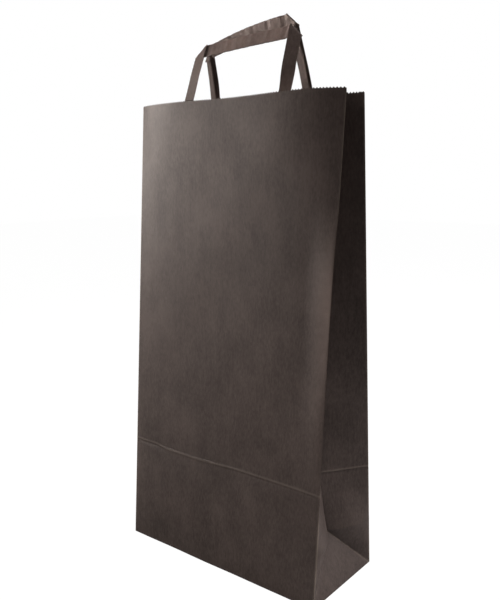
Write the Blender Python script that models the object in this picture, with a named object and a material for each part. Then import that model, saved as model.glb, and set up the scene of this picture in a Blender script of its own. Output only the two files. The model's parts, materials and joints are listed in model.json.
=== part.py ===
"""Two-bottle wine gift bag: a block-bottom paper carrier with pleated sides and flat tape handles.

Metres, +Z up. The origin is the centre of the base, the front faces -Y and the sides face -X and +X.
The real bag is one folded sheet, so each panel between two creases is its own thin solid here.
"""

import math

import bmesh
import bpy
from mathutils import Matrix, Vector

# Driving dimensions
WIDTH = 0.203
DEPTH = 0.089
HEIGHT = 0.390
CREASE_HEIGHT = 0.093
MOUTH_DEPTH = 0.025
MOUTH_BOW = 0.012
PAPER = 0.0004
GAP = 0.0004
TAPE_WIDTH = 0.009
LEG_SPACING = 0.092
PATCH_SIZE = (0.124, 0.042)
SEAM_WIDTH = 0.014

# Worked out from them
HALF_WIDTH = WIDTH / 2
HALF_DEPTH = DEPTH / 2
LAYER = PAPER + GAP
CORNER_CLEARANCE = 4 * LAYER
FOLD_CLEARANCE = 2 * LAYER
PATCH_OFFSET = 2.5 * LAYER
RIM_CLEARANCE = LAYER
APEX_HEIGHT = HALF_DEPTH - 0.001
BOW_POWER = 4
PANEL_COLUMNS = 16
PANEL_ROWS = 7
GUSSET_ROWS = 5
FLAP_REACH = HALF_DEPTH + 0.018
END_FLAP_REACH = 0.044
SEAM_TOP_MARGIN = 0.002
HANDLE_TUCK = 0.034

# Each handle: side of the bag, shift of its middle along X, rise of its left and right corners
HANDLES = {
    "front": {"side": -1, "shift": 0.007, "left_rise": 0.0455, "right_rise": 0.0505},
    "back": {"side": 1, "shift": 0.001, "left_rise": 0.0460, "right_rise": 0.0620},
}
HANDLE_MEETING = 0.0012

PAPER_COLOUR = (0.060, 0.047, 0.040, 1.0)
INNER_COLOUR = (0.085, 0.068, 0.058, 1.0)
TAPE_COLOUR = (0.050, 0.039, 0.033, 1.0)


def clear_scene():
    for obj in list(bpy.data.objects):
        bpy.data.objects.remove(obj, do_unlink=True)


def paper_material(name, colour):
    material = bpy.data.materials.new(name)
    material.use_nodes = True
    shader = material.node_tree.nodes["Principled BSDF"]
    shader.inputs["Base Color"].default_value = colour
    shader.inputs["Roughness"].default_value = 0.6
    shader.inputs["Metallic"].default_value = 0.0
    material.diffuse_color = colour
    return material


def half_depth_at(z):
    """Distance of a panel's side edge from the bag's middle plane, which shrinks towards the mouth."""
    return HALF_DEPTH + (MOUTH_DEPTH / 2 - HALF_DEPTH) * z / HEIGHT


def pleat_inset_at(z):
    """How far a side's centre crease is pushed in, for halves that keep their width."""
    return math.sqrt(HALF_DEPTH**2 - half_depth_at(z) ** 2)


def bow_at(x, z):
    """How far a panel bulges outward beyond the straight line between its side edges."""
    across = 1 - abs(x / HALF_WIDTH) ** BOW_POWER
    up = max(0.0, (z - CREASE_HEIGHT) / (HEIGHT - CREASE_HEIGHT))
    return MOUTH_BOW * across * up**2


def panel_point(side, x, z, inward=0.0):
    """A point on the front (-1) or back (+1) panel, moved inward by some paper layers."""
    return Vector((x, side * (half_depth_at(z) + bow_at(x, z) - inward), z))


def spread(start, end, count):
    return [start + (end - start) * i / (count - 1) for i in range(count)]


def paper_sheet(name, rows, material, thickness=PAPER, place=None):
    """A closed thin solid around the surface through a grid of points."""
    mesh = bmesh.new()
    grid = [[mesh.verts.new(point) for point in row] for row in rows]
    for lower, upper in zip(grid, grid[1:]):
        for i in range(len(lower) - 1):
            mesh.faces.new((lower[i], lower[i + 1], upper[i + 1], upper[i]))
    data = bpy.data.meshes.new(name)
    mesh.to_mesh(data)
    mesh.free()
    data.materials.append(material)
    obj = bpy.data.objects.new(name, data)
    bpy.context.scene.collection.objects.link(obj)
    if place is not None:
        obj.matrix_world = place
    solid = obj.modifiers.new("thickness", "SOLIDIFY")
    solid.thickness = thickness
    solid.offset = 0.0
    return obj


def flat_outline(name, points, thickness, material, place):
    """A closed plate from an outline in its own XY plane, lifted along its own Z and then placed."""
    mesh = bmesh.new()
    face = mesh.faces.new([mesh.verts.new((x, y, 0.0)) for x, y in points])
    if face.normal.z > 0:
        face.normal_flip()
    lifted = bmesh.ops.extrude_face_region(mesh, geom=[face])
    verts = [item for item in lifted["geom"] if isinstance(item, bmesh.types.BMVert)]
    bmesh.ops.translate(mesh, verts=verts, vec=(0.0, 0.0, thickness))
    bmesh.ops.recalc_face_normals(mesh, faces=mesh.faces)
    data = bpy.data.meshes.new(name)
    mesh.to_mesh(data)
    mesh.free()
    data.materials.append(material)
    obj = bpy.data.objects.new(name, data)
    obj.matrix_world = place
    bpy.context.scene.collection.objects.link(obj)
    return obj


def make_base(paper, inner):
    """The glued block bottom: two long flaps that lap in the middle, over two short end flaps."""
    half = HALF_WIDTH - GAP
    edge = HALF_DEPTH - LAYER
    lap = FLAP_REACH - HALF_DEPTH
    front = [(-half, -edge), (half, -edge), (half - lap, lap), (-half + lap, lap)]
    back = [(x, -y) for x, y in reversed(front)]
    flat_outline("bottom_front_flap", front, PAPER, paper, Matrix.Translation((0, 0, 0)))
    flat_outline("bottom_back_flap", back, PAPER, paper, Matrix.Translation((0, 0, LAYER)))
    level = Matrix.Translation((0, 0, 2 * LAYER))
    root = HALF_WIDTH - CORNER_CLEARANCE
    edge = HALF_DEPTH - FOLD_CLEARANCE
    for side, name in ((-1, "left_end_flap"), (1, "right_end_flap")):
        tip = root - END_FLAP_REACH
        outline = [(tip, -edge / 2), (root, -edge), (root, edge), (tip, edge / 2)]
        flat_outline(name, [(side * x, y) for x, y in outline[::side]], PAPER, inner, level)


def make_walls(paper):
    """The front and back faces: a lower wall up to the bottom crease, and the tall panel over it."""
    for side, name in ((-1, "front"), (1, "back")):
        columns = spread(-HALF_WIDTH, HALF_WIDTH, PANEL_COLUMNS + 1)
        low = spread(LAYER, CREASE_HEIGHT - GAP, 2)
        high = spread(CREASE_HEIGHT + GAP, HEIGHT, PANEL_ROWS + 1)
        lower = [[panel_point(side, x, z) for x in (columns[0], columns[-1])] for z in low]
        upper = [[panel_point(side, x, z) for x in columns] for z in high]
        paper_sheet(f"{name}_lower_wall", lower, paper)
        paper_sheet(f"{name}_panel", upper, paper)


def pleat_edge(side, end, z):
    """Where one half of a side pleat starts, just inside the panel's edge."""
    return Vector((side * (HALF_WIDTH - GAP), end * (half_depth_at(z) - LAYER), z))


def pleat_centre(side, end, z):
    """Where one half of a side pleat ends, just short of the centre crease."""
    return Vector((side * (HALF_WIDTH - pleat_inset_at(z)), end * LAYER, z))


def make_side(side, name, paper):
    """A pleated side: two tall halves, two lower halves and the triangle that folds up from the base."""
    apex_inset = HALF_WIDTH - pleat_inset_at(APEX_HEIGHT)
    for end, where in ((-1, "front"), (1, "back")):
        tall = [
            (pleat_edge(side, end, z), pleat_centre(side, end, z))
            for z in spread(CREASE_HEIGHT + GAP, HEIGHT, GUSSET_ROWS + 1)
        ]
        paper_sheet(f"{name}_gusset_{where}", tall, paper)
        crease = CREASE_HEIGHT - GAP
        foot_y = HALF_DEPTH - FOLD_CLEARANCE - LAYER
        foot = Vector((side * (HALF_WIDTH - GAP), end * foot_y, CORNER_CLEARANCE))
        apex = Vector((side * apex_inset, end * LAYER, APEX_HEIGHT + FOLD_CLEARANCE))
        low = [(foot, apex), (pleat_edge(side, end, crease), pleat_centre(side, end, crease))]
        paper_sheet(f"{name}_lower_gusset_{where}", low, paper)
    reach = HALF_DEPTH - CORNER_CLEARANCE - LAYER
    top = APEX_HEIGHT - FOLD_CLEARANCE - LAYER
    base = [Vector((side * (HALF_WIDTH - GAP), end * reach, LAYER + GAP)) for end in (-1, 1)]
    tip = [Vector((side * apex_inset, end * GAP, top)) for end in (-1, 1)]
    paper_sheet(f"{name}_gusset_triangle", [base, tip], paper)


def make_seam(inner):
    """The glued lap of the sheet's two ends, inside the back panel along its left edge."""
    columns = spread(-HALF_WIDTH + 6 * LAYER, -HALF_WIDTH + 6 * LAYER + SEAM_WIDTH, 3)
    heights = spread(CREASE_HEIGHT + 2 * GAP, HEIGHT - SEAM_TOP_MARGIN, PANEL_ROWS + 1)
    rows = [[panel_point(1, x, z, LAYER) for x in columns] for z in heights]
    paper_sheet("seam_flap", rows, inner)


def handle_frame(spec):
    """The tape loop's own frame: X along the bag, Y up the leaning loop, Z towards its outer face."""
    side = spec["side"]
    tallest = max(spec["left_rise"], spec["right_rise"])
    start = abs(panel_point(side, LEG_SPACING / 2, HEIGHT, LAYER).y)
    lean = math.atan2(start - HANDLE_MEETING, tallest)
    up = Vector((0, -side * math.sin(lean), math.cos(lean)))
    across = Vector((1, 0, 0))
    outward = across.cross(up)
    origin = Vector((spec["shift"], side * start, HEIGHT + RIM_CLEARANCE))
    place = Matrix((across, up, outward)).transposed().to_4x4()
    place.translation = origin
    return place, 1 / math.cos(lean)


def make_handle(name, spec, tape, inner):
    """A flat tape loop, its two glued ends inside the panel and the patch that covers them."""
    place, stretch = handle_frame(spec)
    outer = LEG_SPACING / 2 + TAPE_WIDTH / 2
    inside = outer - TAPE_WIDTH
    left = (spec["left_rise"] - RIM_CLEARANCE) * stretch
    right = (spec["right_rise"] - RIM_CLEARANCE) * stretch
    outline = [
        (-outer, 0.0),
        (-inside, 0.0),
        (-inside, left - TAPE_WIDTH),
        (inside, right - TAPE_WIDTH),
        (inside, 0.0),
        (outer, 0.0),
        (outer, right),
        (-outer, left),
    ]
    flat_outline(f"{name}_handle", outline, PAPER, tape, place)
    side = spec["side"]
    heights = spread(HEIGHT - HANDLE_TUCK, HEIGHT - GAP, 3)
    for hand, where in ((-1, "left"), (1, "right")):
        middle = spec["shift"] + hand * LEG_SPACING / 2
        columns = (middle - TAPE_WIDTH / 2, middle + TAPE_WIDTH / 2)
        rows = [[panel_point(side, x, z, LAYER) for x in columns] for z in heights]
        paper_sheet(f"{name}_handle_{where}_end", rows, tape)
    width, height = PATCH_SIZE
    columns = spread(spec["shift"] - width / 2, spec["shift"] + width / 2, PANEL_COLUMNS // 2 + 1)
    heights = spread(HEIGHT - height, HEIGHT - LAYER, 3)
    rows = [[panel_point(side, x, z, PATCH_OFFSET) for x in columns] for z in heights]
    paper_sheet(f"{name}_handle_patch", rows, inner)


def main():
    clear_scene()
    paper = paper_material("outer_paper", PAPER_COLOUR)
    inner = paper_material("inner_paper", INNER_COLOUR)
    tape = paper_material("handle_tape", TAPE_COLOUR)
    make_base(paper, inner)
    make_walls(paper)
    for side, name in ((-1, "left"), (1, "right")):
        make_side(side, name, paper)
    make_seam(inner)
    for name, spec in HANDLES.items():
        make_handle(name, spec, tape, inner)


main()
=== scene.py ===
"""The looks of a two-bottle paper wine bag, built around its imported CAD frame.

The walls are patches of one folded sheet. Patches share their border points and their normals, so the
folds between them are closed and rounded, and each patch is still its own piece. Lengths are in metres.
"""

import json
import math

import bpy
import numpy as np
from mathutils import Matrix, Vector


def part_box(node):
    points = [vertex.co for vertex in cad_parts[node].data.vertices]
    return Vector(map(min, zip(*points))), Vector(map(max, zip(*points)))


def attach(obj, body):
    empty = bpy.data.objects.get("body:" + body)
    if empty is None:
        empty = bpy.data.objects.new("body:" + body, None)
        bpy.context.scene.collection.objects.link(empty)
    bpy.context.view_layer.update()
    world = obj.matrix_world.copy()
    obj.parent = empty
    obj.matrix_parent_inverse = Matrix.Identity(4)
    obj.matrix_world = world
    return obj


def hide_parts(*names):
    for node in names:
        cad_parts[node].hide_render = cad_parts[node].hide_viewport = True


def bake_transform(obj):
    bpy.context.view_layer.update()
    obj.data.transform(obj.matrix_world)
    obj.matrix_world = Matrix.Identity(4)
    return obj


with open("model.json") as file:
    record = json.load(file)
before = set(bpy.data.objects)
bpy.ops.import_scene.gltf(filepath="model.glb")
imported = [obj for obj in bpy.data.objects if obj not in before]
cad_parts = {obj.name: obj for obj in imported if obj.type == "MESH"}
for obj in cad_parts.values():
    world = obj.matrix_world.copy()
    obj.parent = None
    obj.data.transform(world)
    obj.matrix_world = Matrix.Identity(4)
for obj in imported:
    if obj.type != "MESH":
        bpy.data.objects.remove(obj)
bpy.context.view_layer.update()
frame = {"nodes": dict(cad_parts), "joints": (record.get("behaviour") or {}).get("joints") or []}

# The bag's main sizes, read from the frame
WALL_LOW, WALL_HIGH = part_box("front_lower_wall")
PANEL_LOW, PANEL_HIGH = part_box("front_panel")
HALF_WIDTH = WALL_HIGH.x
HALF_DEPTH = -WALL_LOW.y
HEIGHT = PANEL_HIGH.z
CREASE = (WALL_HIGH.z + PANEL_LOW.z) / 2
HALF_MOUTH = -PANEL_HIGH.y
APEX_DROP = 0.001
APEX = HALF_DEPTH - APEX_DROP

# Thicknesses, and the distance between the middles of two glued layers
PAPER = 0.0003
TAPE_THICKNESS = 0.0007
LAYER = 0.0005

# How far a face bows out at the mouth and bellies out below the bottom crease
TOP_BOW = 0.012
BELLY = 0.0025

# Slow unevenness: waves (rate along a, rate along b, share), their phase step, heights and seeds
RIPPLE_WAVES = ((31, 17, 0.5), (53, 41, 0.3), (97, 71, 0.2))
RIPPLE_PHASE = 1.7
FACE_RIPPLE = 0.00055
PLEAT_RIPPLE = 0.0006
FACE_SEED = 2.0
PLEAT_SEED = 4.0
HOLD_AT_EDGE = 0.004
HOLD_AT_CREASE = 0.006

# The bottom crease: its wander on the back, its sag on the front's left, and its section as a ridge and a
# valley (height, middle, width). A start or an end is (place, length)
CREASE_WANDER = 0.0004
CREASE_WANDER_RATE = 35
CREASE_SAG = 0.0022
SAG_START = (-0.078, 0.02)
SAG_END = (-0.030, 0.06)
CREASE_RIDGE = (0.00035, 0.0003, 0.0009)
CREASE_VALLEY = (0.00030, -0.0018, 0.0014)
SIDE_CREASE_DEPTH = 2.0
SIDE_CREASE_PLACE = 1.0
SIDE_CREASE_REACH = 0.008
SIDE_CREASE_SPREAD = 0.3

# Fine level wrinkles and a raised edge beside the front's right fold
WRINKLE_HEIGHT = 0.00007
WRINKLE_PLACE = 0.0950
WRINKLE_WIDTH = 0.006
WRINKLE_START = (0.17, 0.05)
WRINKLE_END = (0.30, 0.03)
WRINKLE_WAVES = ((900, 0), (1430, 40), (610, -60))
EDGE_FLARE = 0.0028
FLARE_WIDTH = 0.024
FLARE_START = (0.03, 0.17)
FLARE_END = (0.25, 0.08)

# The side pleats
PLEAT_SAG = 0.0008
KNEE = 0.0055
KNEE_FADE = 0.030
KNEE_SPREAD = 0.7

# The serrated rim: teeth, and how the line of their tips runs (height, middle, width)
TOOTH_PITCH = 0.0023
TOOTH_STEP = TOOTH_PITCH / 4
TOOTH_DEPTH = 0.0014
RIM_STRIP = 0.0022
RIM_LIFT = 0.0006
RIM_WAVE = 0.0003
RIM_WAVE_RATE = 40
RIM_RISE = (0.0013, 0.078, 0.035)
RIM_DIP = (0.0005, 0.0, 0.030)

# Mesh steps
GRID = 0.0022
FINE = 0.0006
DENSE_BAND = 0.004
SAME_PLACE = 1e-7
RIM_SLACK = 1e-6
NO_LENGTH = 1e-12
SAME_POINT_DIGITS = 6
SHARP_ANGLE = 85
TRIANGLE_COLUMNS = 22

# The same steps for a pleat, as shares of its width
PLEAT_STEP = 0.055
PLEAT_FINE = 0.014
PLEAT_BAND = 0.07

# Where the walls would bend at a pose: above the crease, and in a strip beside the fold edge; place_walls
# works these places out but bends nothing
CREASE_MARGIN = 0.0002
CREASE_BEND = 0.004
PLEAT_MARGIN = 0.0006

# Wear and a painted highlight on the folds, from 0 to 1, and widths of these worn and highlighted lines
EDGE_WEAR_AND_HIGHLIGHT = 0.75
CREASE_WEAR_AND_HIGHLIGHT = 0.35
BASE_WEAR_AND_HIGHLIGHT = 0.3
RIM_WEAR = 0.2
EDGE_WEAR_AND_HIGHLIGHT_WIDTH = (0.0006, 0.0010)
CREASE_WEAR_AND_HIGHLIGHT_LINE = (0.0003, 0.0007)
BASE_WEAR_AND_HIGHLIGHT_WIDTH = (0.0006, 0.0012)
RIM_WEAR_WIDTH = 0.0008

# The painted highlight strip beside the front's right fold
HIGHLIGHT_STRIP_WIDTH = 0.020
HIGHLIGHT_STRIP_SIDE = (0.93, 0.07)
HIGHLIGHT_STRIP_START = (0.02, 0.10)
HIGHLIGHT_STRIP_END = (0.24, 0.07)
HIGHLIGHT_STRIP_EVEN = 0.14
HIGHLIGHT_STRIP_STRONG = (0.76, 0.235, 0.050)

# Colours, linear
PAPER_DARK = (0.0300, 0.0214, 0.0190)
PAPER_PALE = (0.0625, 0.0470, 0.0426)
TAPE_DARK = (0.050, 0.0340, 0.0290)
TAPE_PALE = (0.088, 0.0620, 0.0540)
# The paler core of worn paper, also painted along the folds as a highlight
CORE_AND_HIGHLIGHT_COLOUR = (0.150, 0.125, 0.105)
# Colour of the painted highlight strip beside the front's right fold
HIGHLIGHT_STRIP_COLOUR = (0.115, 0.087, 0.077)
INSIDE_DARK = (0.036, 0.0260, 0.0225)
INSIDE_PALE = (0.052, 0.0390, 0.0345)


# ---------------------------------------------------------------- shape of the sheet


def smooth(value):
    value = np.clip(value, 0.0, 1.0)
    return value * value * (3 - 2 * value)


def rise(value, start, length):
    """0 up to the start and 1 from a length after it."""
    return smooth((value - start) / length)


def bump(value, middle, width):
    return np.exp(-(((value - middle) / width) ** 2))


def raised(value, section):
    height, middle, width = section
    return height * bump(value, middle, width)


def half_depth_at(z):
    """Distance of a fold edge from the bag's middle plane, which shrinks towards the mouth."""
    return HALF_DEPTH + (HALF_MOUTH - HALF_DEPTH) * z / HEIGHT


def pleat_inset_at(z):
    """How far a side's centre crease is pushed in, for halves that keep their width."""
    return np.sqrt(np.maximum(HALF_DEPTH**2 - half_depth_at(z) ** 2, 0.0))


def ripple(a, b, seed):
    """Slow unevenness of handled paper, between about -1 and 1."""
    total = 0.0
    for i, (fa, fb, share) in enumerate(RIPPLE_WAVES):
        total = total + share * np.sin(fa * a + seed + i) * np.cos(fb * b + RIPPLE_PHASE * seed - i)
    return total


def crease_line(x, side):
    """Height of the bottom crease on the front (-1) or the back (+1)."""
    if side > 0:
        return CREASE + CREASE_WANDER * np.sin(CREASE_WANDER_RATE * x)
    return CREASE - CREASE_SAG * rise(x, *SAG_START) * (1 - rise(x, *SAG_END))


def crease_relief(x, z, side):
    """The pressed ridge of the bottom crease, with a shallow valley under it."""
    away = z - crease_line(x, side)
    return raised(away, CREASE_RIDGE) - raised(away, CREASE_VALLEY)


def bulge(x, z, side):
    """How far a face stands out beyond the straight line between its fold edges."""
    u = x / HALF_WIDTH
    up = np.clip((z - CREASE) / (HEIGHT - CREASE), 0.0, 1.0)
    inner = 1 - u**4
    bow = TOP_BOW * inner * up**2
    lift = np.clip(np.abs(HALF_WIDTH - np.abs(x)) / HOLD_AT_EDGE, 0, 1)
    fade = np.clip(1 - np.abs(z - CREASE) / HOLD_AT_CREASE, 0, 1)
    slow = FACE_RIPPLE * ripple(x, z, FACE_SEED + side) * lift * (1 - fade)
    wrinkles = wrinkle_relief(x, z) if side < 0 else 0.0
    belly = BELLY * inner * np.sin(np.pi * np.clip(z / CREASE, 0, 1)) * (z < CREASE)
    return bow + slow + wrinkles + belly + crease_relief(x, z, side) * lift


def wrinkle_relief(x, z):
    """Fine level wrinkles beside the right fold edge, where the sheet was bent by hand."""
    zone = bump(x, WRINKLE_PLACE, WRINKLE_WIDTH) * rise(z, *WRINKLE_START) * (1 - rise(z, *WRINKLE_END))
    waves = sum(np.sin(rate_z * z + rate_x * x) for rate_z, rate_x in WRINKLE_WAVES)
    return WRINKLE_HEIGHT * zone * waves


def edge_flare(x, z):
    """The right fold edge stands a little forward of the front face, from the base to below the mouth."""
    near = 1 - smooth((HALF_WIDTH - np.abs(x)) / FLARE_WIDTH)
    along = rise(z, *FLARE_START) * (1 - rise(z, *FLARE_END))
    return EDGE_FLARE * near * along * (x > 0)


def face_point(side, x, z, inward=0.0):
    """A point of the front (-1) or back (+1) face, moved in by some layers of paper."""
    out = half_depth_at(z) + bulge(x, z, side) - inward
    if side < 0:
        out = out + edge_flare(x, z)
    return np.stack(np.broadcast_arrays(x, side * out, z), axis=-1)


# ---------------------------------------------------------------- patches of the sheet


def steps(low, high, size, dense=(), fine=FINE, band=DENSE_BAND):
    """Values from low to high about a step apart, and closer together near the dense places."""
    values = [low]
    while values[-1] < high - SAME_PLACE:
        near = any(abs(values[-1] - place) < band for place in dense)
        values.append(min(high, values[-1] + (fine if near else size)))
    if len(values) > 2 and values[-1] - values[-2] < fine / 3:
        values.pop(-2)
    return np.array(values)


UPPER_ROWS = steps(CREASE, HEIGHT - RIM_STRIP, GRID, dense=(CREASE,))
LOWER_ROWS = steps(0.0, CREASE, GRID, dense=(0.0, APEX, CREASE))
FACE_COLUMNS = steps(-HALF_WIDTH, HALF_WIDTH, GRID, dense=(-HALF_WIDTH, HALF_WIDTH))
PLEAT_COLUMNS = steps(0.0, 1.0, PLEAT_STEP, dense=(0.0, 1.0), fine=PLEAT_FINE, band=PLEAT_BAND)
RIM_COLUMNS = np.arange(-HALF_WIDTH, HALF_WIDTH + RIM_SLACK, TOOTH_STEP)


def tooth(path):
    """Depth of the serrated cut at a length along the rim."""
    phase = np.mod(path / TOOTH_PITCH, 1.0)
    return TOOTH_DEPTH * np.abs(2 * phase - 1)


def rim_line(x, side):
    """How far the teeth's tips stand over the nominal height, which varies along the rim."""
    if side > 0:
        return RIM_LIFT + RIM_WAVE * np.sin(RIM_WAVE_RATE * x)
    return RIM_LIFT + raised(x, RIM_RISE) - raised(x, RIM_DIP)


def face_patch(side, columns, rows):
    x, z = np.meshgrid(columns, rows)
    grid = face_point(side, x, z)
    return grid if side < 0 else grid[:, ::-1]


def pleat_crease(z):
    """The bottom crease where it crosses a side: a pressed ridge over a shallow valley."""
    relief = crease_relief(SIDE_CREASE_PLACE, z, 1)
    return SIDE_CREASE_DEPTH * relief * (z > CREASE - SIDE_CREASE_REACH)


def pleat_grid(side, end, rows, columns=PLEAT_COLUMNS):
    """Half of an upper side pleat, from the fold edge to the centre crease."""
    z = rows[:, None]
    t = columns[None, :]
    edge = face_point(end, side * HALF_WIDTH, rows)
    centre_x = side * (HALF_WIDTH - pleat_inset_at(rows))
    x = edge[:, 0][:, None] * (1 - t) + centre_x[:, None] * t
    y = edge[:, 1][:, None] * (1 - t)
    middle = np.sin(np.pi * t)
    sag = PLEAT_SAG * middle * np.sin(np.pi * (z - CREASE) / (HEIGHT - CREASE))
    slow = PLEAT_RIPPLE * ripple(x * 2, z, PLEAT_SEED + end + side) * middle
    fade = np.clip((z - CREASE) / HOLD_AT_CREASE, 0, 1)
    x = x - side * (sag + slow * fade - pleat_crease(z) * middle**SIDE_CREASE_SPREAD)
    return np.stack(np.broadcast_arrays(x, y, z), axis=-1)


def apex_point(side):
    """The tip of a side's base triangle."""
    return np.array([side * (HALF_WIDTH - pleat_inset_at(APEX)), 0.0, APEX])


def lower_pleat_grid(side, end):
    """Half of a lower side, over the diagonal fold from the base corner to the apex."""
    edge = face_point(end, side * HALF_WIDTH, LOWER_ROWS)
    apex = apex_point(side)
    top = np.array([side * (HALF_WIDTH - pleat_inset_at(CREASE)), 0.0, CREASE])
    share = np.clip((LOWER_ROWS - APEX) / (CREASE - APEX), 0, 1)[:, None]
    centre = apex * (1 - share) + top * share
    t = PLEAT_COLUMNS[None, :, None]
    grid = edge[:, None, :] * (1 - t) + centre[:, None, :] * t
    away = LOWER_ROWS - APEX
    knee = KNEE * np.clip(1 - np.where(away < 0, -away / APEX, away / KNEE_FADE), 0, 1)
    middle = np.sin(np.pi * PLEAT_COLUMNS)
    crease = pleat_crease(LOWER_ROWS)[:, None] * middle**SIDE_CREASE_SPREAD
    grid[..., 0] += side * (knee[:, None] * middle**KNEE_SPREAD + crease)
    return grid


def triangle_grid(side):
    """The triangle that tilts up from the base between the two diagonal folds."""
    feet = [face_point(end, side * HALF_WIDTH, LOWER_ROWS[:1])[0] for end in (-1, 1)]
    apex = apex_point(side)
    across = np.linspace(0, 1, TRIANGLE_COLUMNS)[None, :, None]
    t = PLEAT_COLUMNS[:, None, None]
    front = feet[0] * (1 - t) + apex * t
    back = feet[1] * (1 - t) + apex * t
    return front * (1 - across) + back * across


def pleat_blend(sign):
    """Start and end of a pleat's blend: a strip beside the fold edge, as wide as half the mouth."""
    slope = (half_depth_at(CREASE) - HALF_MOUTH) / (HEIGHT - CREASE)
    reach = (HALF_MOUTH - 2 * PLEAT_MARGIN) / (1 + slope**2)
    start = (0, sign * PLEAT_MARGIN, HEIGHT)
    end = (0, sign * (PLEAT_MARGIN + reach), HEIGHT + slope * reach)
    return start, end


def outward(grid, flip):
    return grid[:, ::-1] if flip else grid


# ---------------------------------------------------------------- meshes


class Sheet:
    """Patches that meet edge to edge. Border points are shared, so normals run on across the folds."""

    def __init__(self):
        self.points = {}
        self.places = []
        self.faces = {}

    def add(self, name, grid):
        rows, columns = grid.shape[:2]
        index = np.empty((rows, columns), int)
        for r in range(rows):
            for c in range(columns):
                key = tuple(np.round(grid[r, c], SAME_POINT_DIGITS) + 0.0)
                if key not in self.points:
                    self.points[key] = len(self.places)
                    self.places.append(grid[r, c])
                index[r, c] = self.points[key]
        faces = self.faces.setdefault(name, [])
        for r in range(rows - 1):
            for c in range(columns - 1):
                ring = (index[r, c], index[r, c + 1], index[r + 1, c + 1], index[r + 1, c])
                face = tuple(dict.fromkeys(int(i) for i in ring))
                if len(face) > 2:
                    faces.append(face)

    def normals(self):
        places = np.array(self.places)
        total = np.zeros_like(places)
        for faces in self.faces.values():
            for face in faces:
                a, b, c = places[face[0]], places[face[1]], places[face[2]]
                d = places[face[-1]]
                normal = np.cross(b - a, c - a) + np.cross(c - a, d - a)
                total[list(face)] += normal
        size = np.linalg.norm(total, axis=1, keepdims=True)
        return places, total / np.maximum(size, NO_LENGTH)

    def build(self, thickness, wear_and_highlight):
        """One closed solid for each name, thickened about the shared surface."""
        places, normals = self.normals()
        # Wear, with a painted highlight along the folds
        wear_and_highlight_mask = wear_and_highlight(places)
        # The painted highlight strip beside the front's right fold
        highlight_strip_values = edge_highlight_strip(places)
        built = {}
        for name, faces in self.faces.items():
            used = sorted({i for face in faces for i in face})
            local = {i: n for n, i in enumerate(used)}
            count = len(used)
            outer = places[used] + normals[used] * thickness / 2
            inner = places[used] - normals[used] * thickness / 2
            solid = [tuple(local[i] for i in face) for face in faces]
            solid += [tuple(local[i] + count for i in reversed(face)) for face in faces]
            for a, b in border(faces):
                solid.append((local[b], local[a], local[a] + count, local[b] + count))
            built[name] = new_mesh(name, np.vstack([outer, inner]), solid)
            add_values(built[name], "wear_and_highlight", np.concatenate([wear_and_highlight_mask[used]] * 2))
            add_values(built[name], "highlight_and_crumple", np.concatenate([highlight_strip_values[used]] * 2))
        return built


def border(faces):
    """The edges that only one face has."""
    edges = {}
    for face in faces:
        for a, b in zip(face, face[1:] + face[:1]):
            if edges.pop((b, a), None) is None:
                edges[(a, b)] = True
    return edges


def new_mesh(name, points, faces):
    mesh = bpy.data.meshes.new(name)
    mesh.from_pydata([tuple(p) for p in points], [], faces)
    mesh.update()
    mesh.shade_smooth()
    mesh.set_sharp_from_angle(angle=math.radians(SHARP_ANGLE))
    obj = bpy.data.objects.new(name, mesh)
    bpy.context.scene.collection.objects.link(obj)
    return obj


def add_values(obj, name, values):
    """Stores a value for each point, which the paper material reads: the wear with painted fold highlights,
    and the painted highlight strip.
    """
    attribute = obj.data.attributes.new(name, "FLOAT", "POINT")
    attribute.data.foreach_set("value", np.asarray(values, np.float32))


def paper_wear_and_highlight(places):
    """Worn folds with a painted highlight along them: the side fold edges, the bottom crease and the base
    triangles' diagonal folds.
    """
    x, y, z = places.T
    edge_x, edge_y = EDGE_WEAR_AND_HIGHLIGHT_WIDTH
    edge = bump(np.abs(x), HALF_WIDTH, edge_x) * bump(np.abs(y), half_depth_at(z), edge_y)
    above, width = CREASE_WEAR_AND_HIGHLIGHT_LINE
    crease = CREASE_WEAR_AND_HIGHLIGHT * bump(z, crease_line(x, -1) + above, width)
    apex_x = apex_point(1)[0]
    base_x, base_y = BASE_WEAR_AND_HIGHLIGHT_WIDTH
    across = np.abs(np.abs(x) - (HALF_WIDTH - (HALF_WIDTH - apex_x) * z / APEX)) < base_x
    diagonal = np.abs(np.abs(y) - HALF_DEPTH * (1 - z / APEX)) < base_y
    base = BASE_WEAR_AND_HIGHLIGHT * (across & diagonal & (z < APEX))
    return np.clip(EDGE_WEAR_AND_HIGHLIGHT * edge + crease + base, 0, 1)


def rim_wear(places):
    return RIM_WEAR * bump(places[:, 2], HEIGHT, RIM_WEAR_WIDTH)


def no_wear(places):
    return np.zeros(len(places))


def edge_highlight_strip(places):
    """A painted highlight: a paler strip beside the front's right fold edge, strongest about 0.24 m up."""
    x, y, z = places.T
    front = rise(-y / half_depth_at(z), *HIGHLIGHT_STRIP_SIDE)
    strip = smooth((x - HALF_WIDTH + HIGHLIGHT_STRIP_WIDTH) / HIGHLIGHT_STRIP_WIDTH) * front
    along = rise(z, *HIGHLIGHT_STRIP_START) * (1 - rise(z, *HIGHLIGHT_STRIP_END))
    return strip * (HIGHLIGHT_STRIP_EVEN * along + raised(z, HIGHLIGHT_STRIP_STRONG))


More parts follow.
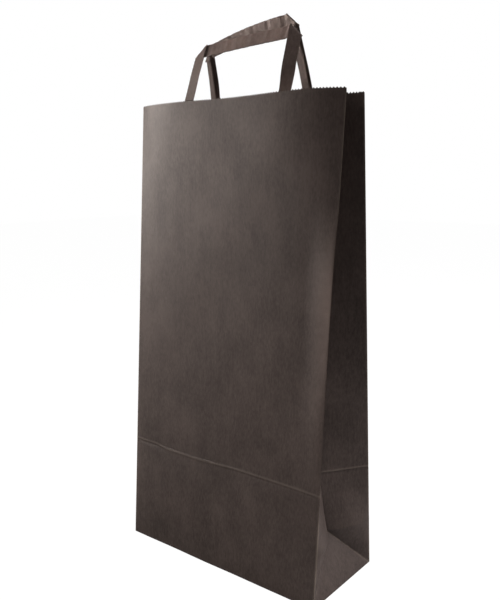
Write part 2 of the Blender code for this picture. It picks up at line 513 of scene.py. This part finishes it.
def build_tube():
    """The bag's folded tube, as one sheet with a patch for each wall."""
    sheet = Sheet()
    for side, where in ((-1, "front"), (1, "back")):
        sheet.add(f"{where}_face", face_patch(side, FACE_COLUMNS, UPPER_ROWS))
        sheet.add(f"{where}_foot", face_patch(side, FACE_COLUMNS, LOWER_ROWS))
    for side, hand in ((-1, "left"), (1, "right")):
        for end, where in ((-1, "front"), (1, "back")):
            flip = side * end > 0
            sheet.add(f"{hand}_pleat_{where}", outward(pleat_grid(side, end, UPPER_ROWS), flip))
            sheet.add(f"{hand}_lower_pleat_{where}", outward(lower_pleat_grid(side, end), flip))
        sheet.add(f"{hand}_base_triangle", outward(triangle_grid(side), side < 0))
    return sheet.build(PAPER, paper_wear_and_highlight)


def solid_grid(name, grid, thickness, wear_and_highlight=no_wear):
    """One closed thin solid from a grid of points."""
    sheet = Sheet()
    sheet.add(name, grid)
    return sheet.build(thickness, wear_and_highlight)[name]


def rim_strips():
    """The serrated top few millimetres of every wall."""
    rows = np.array([HEIGHT - RIM_STRIP, HEIGHT - RIM_STRIP / 2, HEIGHT])
    strips = {}
    for side, where in ((-1, "front"), (1, "back")):
        grid = face_patch(side, RIM_COLUMNS, rows)
        grid[-1, :, 2] += rim_line(grid[-1, :, 0], side) - tooth(grid[-1, :, 0])
        strips[f"{where}_face"] = grid
    half = np.hypot(half_depth_at(HEIGHT), pleat_inset_at(HEIGHT))
    columns = np.append(np.arange(0.0, 1.0, TOOTH_STEP / half), 1.0)
    for side, hand in ((-1, "left"), (1, "right")):
        for end, where in ((-1, "front"), (1, "back")):
            grid = pleat_grid(side, end, rows, columns)
            grid[-1, :, 2] -= tooth(columns * half)
            strips[f"{hand}_pleat_{where}"] = outward(grid, side * end > 0)
    return strips


def join(first, second):
    with bpy.context.temp_override(active_object=first, selected_editable_objects=[first, second]):
        bpy.ops.object.join()


# ---------------------------------------------------------------- handles


# feet and tops: x of the legs' middles at the rim and at the folds. rise: height of the bar's top edge at
# its ends. twist: turn of each leg, in degrees. curl_from: share of half the width where an edge curls.
HANDLES = {
    "front": {
        "side": -1,
        "feet": (-0.0375, 0.0565),
        "tops": (-0.0375, 0.0526),
        "rise": (0.0422, 0.0485),
        "hump": 0.0008,
        "twist": (-3, 28),
        "curl_from": (1.0, 1.0),
    },
    "back": {
        "side": 1,
        "feet": (-0.0488, 0.0468),
        "tops": (-0.0440, 0.0437),
        "rise": (0.0425, 0.0580),
        "hump": 0.0026,
        "twist": (-6, -10),
        "curl_from": (0.25, 0.60),
    },
}
TAPE_WIDTH = 0.0092
TAPE_COLUMNS = 13
PANEL_PLACE = 0.045
ABOVE_RIM = 0.0004
LEG_STEPS = 18
BAR_STEPS = 60
FOLD_STEPS = 5
BAR_LAYER = 0.0
LEG_LAYER = 1.0

# The bars meet over the mouth, and the legs pass outside them
BAR_MEETING = 0.0012
LEAN_POWER = 0.95
LEG_STANDOFF = 0.0015
STANDOFF_RISE = 0.020
FOLD_ANGLES = (150, 30)
FOLD_PUSH = 0.7

# The legs' twist and curl, and the bar's small bends (height, rate, share of the seed)
CURL_SLOPE = 0.75
TWIST_FADE = 0.0055
TWIST_RISE = 0.016
FOOT_TWIST = 0.4
BAR_WAVES = ((0.00050, 420, 1), (0.00024, 910, 2))
BAR_SEED = 1.0

# The glued ends, and the patch's slope down from a tape end
HANDLE_TUCK = 0.034
END_TOP = 0.0002
END_ROWS = 12
END_COLUMNS = 7
PATCH_SLOPE = 0.004


def handle_hinge(name):
    joint = next(j for j in frame["joints"] if j["name"] == f"{name}_loop_fold")
    return Vector(joint["pos_m"])


def leg_sections(foot, top, hand, bar_bottom, bar_top):
    """Sections of a leg from the rim up to the slanted fold. The first end is the outer one."""
    half = TAPE_WIDTH / 2
    outer, inner = hand * half, -hand * half
    for s in np.linspace(0, 1, LEG_STEPS):
        middle = foot + (top - foot) * s
        a = (middle + outer, bar_bottom(top + outer) * s)
        b = (middle + inner, bar_top(top + inner) * s)
        yield a, b, LEG_LAYER, middle, hand


def fold_sections(section, hand, angles):
    """A tight half turn about the slanted fold line, between a leg and the bar."""
    a, b, _, middle, _ = section
    for angle in np.linspace(*angles, FOLD_STEPS):
        push = LEG_STANDOFF / 2 * math.sin(math.radians(angle)) * FOLD_PUSH
        layer = (1 - math.cos(math.radians(angle))) / 2
        shift = np.array([hand * push, push])
        yield tuple(a + shift), tuple(b + shift), layer, middle, hand


def loop_sections(spec):
    """Cross-sections of the folded tape above the rim: left leg, bar and right leg.

    Each is (one edge, other edge, layer, leg's middle, hand). An edge is (x, height over the rim).
    """
    half = TAPE_WIDTH / 2
    left, right = spec["tops"]
    low_left, low_right = spec["rise"]
    span = right - left + TAPE_WIDTH

    def bar_top(x):
        s = (x - left + half) / span
        return low_left + (low_right - low_left) * s + 4 * spec["hump"] * s * (1 - s)

    def bar_bottom(x):
        return bar_top(x) - TAPE_WIDTH

    sections = list(leg_sections(spec["feet"][0], left, -1, bar_bottom, bar_top))
    sections += fold_sections(sections[-1], -1, FOLD_ANGLES)
    for s in np.linspace(0, 1, BAR_STEPS):
        low_x = left - half + span * s
        high_x = left + half + (span - 2 * TAPE_WIDTH) * s
        middle, hand = (left, -1) if s < 0.5 else (right, 1)
        low_edge = (low_x, bar_bottom(low_x))
        high_edge = (high_x, bar_top(high_x))
        sections.append((low_edge, high_edge, BAR_LAYER, middle, hand))
    right_leg = list(leg_sections(spec["feet"][1], right, 1, bar_bottom, bar_top))
    sections += fold_sections(right_leg[-1], 1, FOLD_ANGLES[::-1])
    sections += reversed(right_leg)
    return sections


def tape_turn(spec, hand, offset, height):
    """How far a point moves along y because its leg is twisted and its edge curls away."""
    half = TAPE_WIDTH / 2
    index = 0 if hand < 0 else 1
    ramp_up = FOOT_TWIST + (1 - FOOT_TWIST) * smooth(height / TWIST_RISE)
    past = max(0.0, -hand * offset - half)
    fade = 1 - smooth(past / TWIST_FADE)
    near = min(max(offset, -half), half)
    turn = near * math.tan(math.radians(spec["twist"][index])) * fade
    curl = max(0.0, near / half - spec["curl_from"][index]) * half * CURL_SLOPE * (past == 0)
    return (turn + curl) * ramp_up


def bar_crinkle(x, seed):
    """Small bends where the bar was gripped, always away from the other bar."""
    return abs(sum(height * math.sin(rate * x + share * seed) for height, rate, share in BAR_WAVES))


def handle_grid(spec):
    """The folded tape loop in the bag's frame, leaning over the mouth, as a grid of points."""
    side = spec["side"]
    tallest = max(spec["rise"])
    start = abs(face_point(side, PANEL_PLACE, HEIGHT)[1]) - LAYER - TAPE_THICKNESS / 2
    rows = []
    for a, b, layer, middle, hand in loop_sections(spec):
        row = []
        for t in np.linspace(0, 1, TAPE_COLUMNS):
            x = a[0] + (b[0] - a[0]) * t
            v = a[1] + (b[1] - a[1]) * t
            lean = (v / tallest) ** LEAN_POWER
            out = start + (BAR_MEETING - start) * lean
            out += layer * LEG_STANDOFF * min(1.0, v / STANDOFF_RISE)
            if layer < LEG_LAYER / 2:
                out += bar_crinkle(x, BAR_SEED + side)
            y = side * out + tape_turn(spec, hand, x - middle, v)
            row.append((x, y, HEIGHT + ABOVE_RIM + v))
        rows.append(row)
    return np.array(rows)


def build_handle(name):
    """A handle's loop and its two glued ends."""
    spec = HANDLES[name]
    side = spec["side"]
    hinge = handle_hinge(name)
    loop = solid_grid(f"{name}_tape_loop", handle_grid(spec), TAPE_THICKNESS)
    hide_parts(f"{name}_handle")
    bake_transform(loop)
    pieces = [loop]
    rows = np.linspace(HEIGHT - HANDLE_TUCK, HEIGHT + END_TOP, END_ROWS)
    for foot, hand in zip(spec["feet"], ("left", "right")):
        columns = np.linspace(foot - TAPE_WIDTH / 2, foot + TAPE_WIDTH / 2, END_COLUMNS)
        x, z = np.meshgrid(columns, rows)
        grid = face_point(side, x, z, LAYER + TAPE_THICKNESS / 2)
        end = solid_grid(f"{name}_tape_{hand}_end", grid, TAPE_THICKNESS)
        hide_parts(f"{name}_handle_{hand}_end")
        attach(end, f"{name}_upper")
        pieces.append(end)
    return pieces


def build_patch(name):
    """The reinforcement paper glued over a handle's two ends, which shows their thickness."""
    side = HANDLES[name]["side"]
    low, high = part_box(f"{name}_handle_patch")
    x, z = np.meshgrid(steps(low.x, high.x, GRID), steps(low.z, high.z, GRID))
    over = sum(1 - rise(np.abs(x - foot), TAPE_WIDTH / 2, PATCH_SLOPE) for foot in HANDLES[name]["feet"])
    inward = LAYER + (TAPE_THICKNESS + LAYER) * over
    patch = solid_grid(f"{name}_glued_patch", face_point(side, x, z, inward), PAPER)
    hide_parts(f"{name}_handle_patch")
    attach(patch, f"{name}_upper")
    return patch


def build_seam():
    """The lap inside the back face where the sheet's two ends are glued."""
    low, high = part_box("seam_flap")
    x, z = np.meshgrid(steps(low.x, high.x, GRID), steps(low.z, high.z, GRID))
    seam = solid_grid("glued_seam_lap", face_point(1, x, z, LAYER), PAPER)
    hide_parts("seam_flap")
    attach(seam, "back_upper")
    return seam


# ---------------------------------------------------------------- materials


# Noises of the paper: (stretch along x, y and z), size, detail and roughness
NOISES = {
    "grain": ((1, 1, 0.35), 700, 4, 0.70),
    "streak": ((1, 1, 0.08), 160, 3, 0.6),
    "cloud": ((1, 1, 1), 16, 3, 0.5),
    "mottle": ((1, 1, 0.7), 45, 5, 0.6),
    "fibre": ((1, 1, 1), 2400, 2, 0.7),
    "crumple": ((0.22, 1, 1), 420, 3, 0.6),
}
TONE_SHARES = (("grain", 0.40), ("streak", 0.10), ("mottle", 0.30), ("cloud", 0.20))
RELIEF_SHARES = (("grain", 0.6), ("fibre", 0.4), ("mottle", 1.2))
CRUMPLE_SHARE = 3.0
TONE_RANGE = (0.40, 0.60)
GLOSS_RANGE = (0.3, 0.7)
GLOSS_SPREAD = 0.05
WEAR_AND_HIGHLIGHT_BREAK = 0.45
HIGHLIGHT_STRIP_BREAK = 0.40
PAPER_SPECULAR = 0.22
RELIEF_STRENGTH = 0.40
RELIEF_DISTANCE = 0.0002
OUTER_ROUGHNESS = 0.55
INNER_ROUGHNESS = 0.65


def node(tree, kind, **settings):
    made = tree.nodes.new(kind)
    for name, value in settings.items():
        setattr(made, name, value)
    return made


def scaled_noise(tree, coordinate, scale, size, detail, roughness):
    mapping = node(tree, "ShaderNodeMapping")
    mapping.inputs["Scale"].default_value = scale
    tree.links.new(coordinate, mapping.inputs["Vector"])
    noise = node(tree, "ShaderNodeTexNoise")
    noise.inputs["Scale"].default_value = size
    noise.inputs["Detail"].default_value = detail
    noise.inputs["Roughness"].default_value = roughness
    tree.links.new(mapping.outputs["Vector"], noise.inputs["Vector"])
    return noise.outputs["Fac"]


def ramp(tree, value, places, dark, pale):
    made = node(tree, "ShaderNodeValToRGB")
    for element, place, colour in zip(made.color_ramp.elements, places, (dark, pale)):
        element.position = place
        element.color = (*colour, 1)
    tree.links.new(value, made.inputs["Fac"])
    return made.outputs["Color"]


def combine(tree, operation, a, b):
    made = node(tree, "ShaderNodeMath", operation=operation)
    for socket, value in zip(made.inputs, (a, b)):
        if isinstance(value, (int, float)):
            socket.default_value = value
        else:
            tree.links.new(value, socket)
    return made.outputs["Value"]


def add_shares(tree, total, noises, shares):
    """The total with a share of each named noise added."""
    for name, share in shares:
        total = combine(tree, "ADD", total, combine(tree, "MULTIPLY", noises[name], share))
    return total


def mix_colour(tree, factor, a, b):
    """A node's colour a, mixed with the constant colour b."""
    made = node(tree, "ShaderNodeMix", data_type="RGBA")
    tree.links.new(factor, made.inputs["Factor"])
    tree.links.new(a, made.inputs[6])
    made.inputs[7].default_value = (*b, 1)
    return made.outputs[2]


def broken_mask(tree, name, mottle, least):
    """A stored value, the wear with painted fold highlights and the painted highlight strip alike, broken
    up by the mottling.
    """
    stored = node(tree, "ShaderNodeAttribute", attribute_name=name).outputs["Fac"]
    return stored, combine(tree, "MULTIPLY", stored, combine(tree, "ADD", mottle, least))


def paper_material(name, dark, pale, roughness):
    """Machine-glazed kraft: vertical grain, soft mottling, tiny fibres, worn folds showing a paler core
    with a painted highlight along them, and a painted highlight strip beside the front's right fold.
    """
    material = bpy.data.materials.new(name)
    material.use_nodes = True
    tree = material.node_tree
    shader = tree.nodes["Principled BSDF"]
    place = node(tree, "ShaderNodeTexCoord").outputs["Object"]
    noises = {kind: scaled_noise(tree, place, *settings) for kind, settings in NOISES.items()}
    first, share = TONE_SHARES[0]
    tone = combine(tree, "MULTIPLY", noises[first], share)
    tone = add_shares(tree, tone, noises, TONE_SHARES[1:])
    colour = ramp(tree, tone, TONE_RANGE, dark, pale)
    _, wear_and_highlight_mask = broken_mask(tree, "wear_and_highlight", noises["mottle"], WEAR_AND_HIGHLIGHT_BREAK)
    highlight_and_crumple, painted_highlight_strip = broken_mask(tree, "highlight_and_crumple", noises["mottle"], HIGHLIGHT_STRIP_BREAK)
    # Paints the highlight strip beside the front's right fold
    colour = mix_colour(tree, painted_highlight_strip, colour, HIGHLIGHT_STRIP_COLOUR)
    # Paler worn folds, partly a painted highlight along them
    colour = mix_colour(tree, wear_and_highlight_mask, colour, CORE_AND_HIGHLIGHT_COLOUR)
    tree.links.new(colour, shader.inputs["Base Color"])
    rougher, smoother = (roughness + GLOSS_SPREAD,) * 3, (roughness - GLOSS_SPREAD,) * 3
    tree.links.new(ramp(tree, tone, GLOSS_RANGE, rougher, smoother), shader.inputs["Roughness"])
    shader.inputs["Specular IOR Level"].default_value = PAPER_SPECULAR
    crumpled = combine(tree, "MULTIPLY", noises["crumple"], highlight_and_crumple)
    height = combine(tree, "MULTIPLY", crumpled, CRUMPLE_SHARE)
    height = add_shares(tree, height, noises, RELIEF_SHARES)
    relief = node(tree, "ShaderNodeBump")
    relief.inputs["Strength"].default_value = RELIEF_STRENGTH
    relief.inputs["Distance"].default_value = RELIEF_DISTANCE
    tree.links.new(height, relief.inputs["Height"])
    tree.links.new(relief.outputs["Normal"], shader.inputs["Normal"])
    return material


def dress(obj, material):
    obj.data.materials.clear()
    obj.data.materials.append(material)


# ---------------------------------------------------------------- stage


CAMERA_PLACE = (0.3661, -0.4551, 0.3343)
CAMERA_YAW = 39.09
CAMERA_PITCH = 13.19
CAMERA_ROLL = -0.55
CAMERA_LENS = 42.08
CAMERA_SENSOR = 36.0
CAMERA_SHIFT = (0.0129, 0.0606)
CAMERA_CLIP = 0.01

# Each light's size is width by height, and its azimuth is 0 in front of the bag and 90 at its right
LIGHTS = {
    "key_left": {
        "azimuth": -62,
        "elevation": 14,
        "distance": 0.78,
        "size": (0.55, 0.50),
        "power": 3.0,
        "aim": (-0.04, 0, 0.335),
        "colour": (1.0, 0.92, 0.86),
        "spread": 80,
    },
    "low_left": {
        "azimuth": -52,
        "elevation": 4,
        "distance": 0.36,
        "size": (0.25, 0.15),
        "power": 0.20,
        "aim": (-0.09, -0.045, 0.06),
        "colour": (1.0, 0.92, 0.86),
        "spread": 180,
    },
    "bar_fill": {
        "azimuth": -60,
        "elevation": 0,
        "distance": 0.5,
        "size": (0.08, 0.02),
        "power": 0.034,
        "aim": (0.012, 0, 0.456),
        "colour": (1.0, 0.92, 0.86),
        "spread": 13,
    },
    "top": {
        "azimuth": 100,
        "elevation": 75,
        "distance": 1.2,
        "size": (0.9, 0.9),
        "power": 5.5,
        "aim": (0, 0, 0.2),
        "colour": (1.0, 0.95, 0.92),
        "spread": 180,
    },
    "rear_right": {
        "azimuth": 125,
        "elevation": 25,
        "distance": 1.3,
        "size": (0.8, 0.8),
        "power": 21,
        "aim": (0, 0, 0.2),
        "colour": (1.0, 0.94, 0.91),
        "spread": 180,
    },
}

# The floor, whose glow makes it look evenly pale to the camera
FLOOR_REACH = 4.0
FLOOR_DROP = 0.0004
FLOOR_COLOUR = (0.62, 0.62, 0.62)
FLOOR_ROUGHNESS = 0.9
FLOOR_SPECULAR = 0.1
FLOOR_BRIGHTNESS = 1.10
FLOOR_GLOW = 0.90
WORLD_AMBIENT = 0.015


def make_camera():
    data = bpy.data.cameras.new("camera")
    data.sensor_width = CAMERA_SENSOR
    data.lens = CAMERA_LENS
    data.shift_x, data.shift_y = CAMERA_SHIFT
    data.clip_start = CAMERA_CLIP
    camera = bpy.data.objects.new("camera", data)
    camera.location = CAMERA_PLACE
    turn = Matrix.Rotation(math.radians(CAMERA_YAW), 3, "Z")
    tilt = Matrix.Rotation(math.radians(90 - CAMERA_PITCH), 3, "X")
    roll = Matrix.Rotation(math.radians(CAMERA_ROLL), 3, "Z")
    camera.rotation_euler = (turn @ tilt @ roll).to_euler()
    bpy.context.scene.collection.objects.link(camera)
    bpy.context.scene.camera = camera


def make_light(name, settings):
    """A soft panel that faces its aim from a direction and a distance."""
    data = bpy.data.lights.new(name, "AREA")
    data.shape = "RECTANGLE"
    data.size, data.size_y = settings["size"]
    data.energy = settings["power"]
    data.color = settings["colour"]
    data.spread = math.radians(settings["spread"])
    light = bpy.data.objects.new(name, data)
    a, e = math.radians(settings["azimuth"]), math.radians(settings["elevation"])
    away = Vector((math.sin(a) * math.cos(e), -math.cos(a) * math.cos(e), math.sin(e)))
    light.location = Vector(settings["aim"]) + away * settings["distance"]
    light.rotation_mode = "QUATERNION"
    light.rotation_quaternion = away.to_track_quat("Z", "Y")
    bpy.context.scene.collection.objects.link(light)


def make_floor():
    mesh = bpy.data.meshes.new("floor")
    signs = ((-1, -1), (1, -1), (1, 1), (-1, 1))
    corners = [(FLOOR_REACH * sign_x, FLOOR_REACH * sign_y, 0) for sign_x, sign_y in signs]
    mesh.from_pydata(corners, [], [(0, 1, 2, 3)])
    floor = bpy.data.objects.new("floor", mesh)
    floor.location.z = -FLOOR_DROP
    bpy.context.scene.collection.objects.link(floor)
    material = bpy.data.materials.new("pale_floor")
    material.use_nodes = True
    tree = material.node_tree
    shader = tree.nodes["Principled BSDF"]
    shader.inputs["Base Color"].default_value = (*FLOOR_COLOUR, 1)
    shader.inputs["Roughness"].default_value = FLOOR_ROUGHNESS
    shader.inputs["Specular IOR Level"].default_value = FLOOR_SPECULAR
    glow = node(tree, "ShaderNodeEmission")
    glow.inputs["Strength"].default_value = FLOOR_BRIGHTNESS
    blend = node(tree, "ShaderNodeMixShader")
    seen = node(tree, "ShaderNodeLightPath").outputs["Is Camera Ray"]
    tree.links.new(combine(tree, "MULTIPLY", seen, FLOOR_GLOW), blend.inputs[0])
    tree.links.new(shader.outputs["BSDF"], blend.inputs[1])
    tree.links.new(glow.outputs["Emission"], blend.inputs[2])
    tree.links.new(blend.outputs["Shader"], tree.nodes["Material Output"].inputs["Surface"])
    dress(floor, material)


def make_world():
    """White where the camera sees it, and almost no light from it on the bag."""
    world = bpy.data.worlds.new("studio")
    bpy.context.scene.world = world
    world.use_nodes = True
    tree = world.node_tree
    background = tree.nodes["Background"]
    seen = node(tree, "ShaderNodeLightPath").outputs["Is Camera Ray"]
    shown = combine(tree, "MULTIPLY", seen, 1 - WORLD_AMBIENT)
    tree.links.new(combine(tree, "ADD", shown, WORLD_AMBIENT), background.inputs["Strength"])
    background.inputs["Color"].default_value = (1, 1, 1, 1)


def make_stage():
    make_camera()
    make_floor()
    make_world()
    for name, settings in LIGHTS.items():
        make_light(name, settings)
    bpy.context.scene.view_settings.view_transform = "Standard"


# ---------------------------------------------------------------- the whole bag


def place_walls(tube):
    """Joins the feet, the lower pleats and the base triangles to the lower box; the faces and upper pleats
    are only baked in place.
    """
    for sign, where in ((-1, "front"), (1, "back")):
        face, foot = tube[f"{where}_face"], tube[f"{where}_foot"]
        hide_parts(f"{where}_panel")
        near = (0, 0, CREASE + CREASE_MARGIN)
        far = (0, 0, CREASE + CREASE_BEND)
        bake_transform(face)
        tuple(near)
        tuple(far)
        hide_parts(f"{where}_lower_wall")
        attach(foot, "lower_box")
        for hand in ("left", "right"):
            pleat = tube[f"{hand}_pleat_{where}"]
            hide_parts(f"{hand}_gusset_{where}")
            near, far = pleat_blend(sign)
            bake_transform(pleat)
            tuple(near)
            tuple(far)
            lower = tube[f"{hand}_lower_pleat_{where}"]
            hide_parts(f"{hand}_lower_gusset_{where}")
            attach(lower, "lower_box")
    for hand in ("left", "right"):
        triangle = tube[f"{hand}_base_triangle"]
        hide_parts(f"{hand}_gusset_triangle")
        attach(triangle, "lower_box")


def main():
    outer = paper_material("dark_kraft", PAPER_DARK, PAPER_PALE, OUTER_ROUGHNESS)
    inner = paper_material("inner_kraft", INSIDE_DARK, INSIDE_PALE, INNER_ROUGHNESS)
    tape = paper_material("tape_kraft", TAPE_DARK, TAPE_PALE, OUTER_ROUGHNESS)
    tube = build_tube()
    for name, grid in rim_strips().items():
        join(tube[name], solid_grid(f"{name}_rim", grid, PAPER, rim_wear))
    place_walls(tube)
    for piece in tube.values():
        dress(piece, outer)
    for name in HANDLES:
        for piece in build_handle(name):
            dress(piece, tape)
        dress(build_patch(name), inner)
    dress(build_seam(), inner)
    for name in ("bottom_front_flap", "bottom_back_flap"):
        dress(frame["nodes"][name], outer)
    for name in ("left_end_flap", "right_end_flap"):
        dress(frame["nodes"][name], inner)
    make_stage()


main()
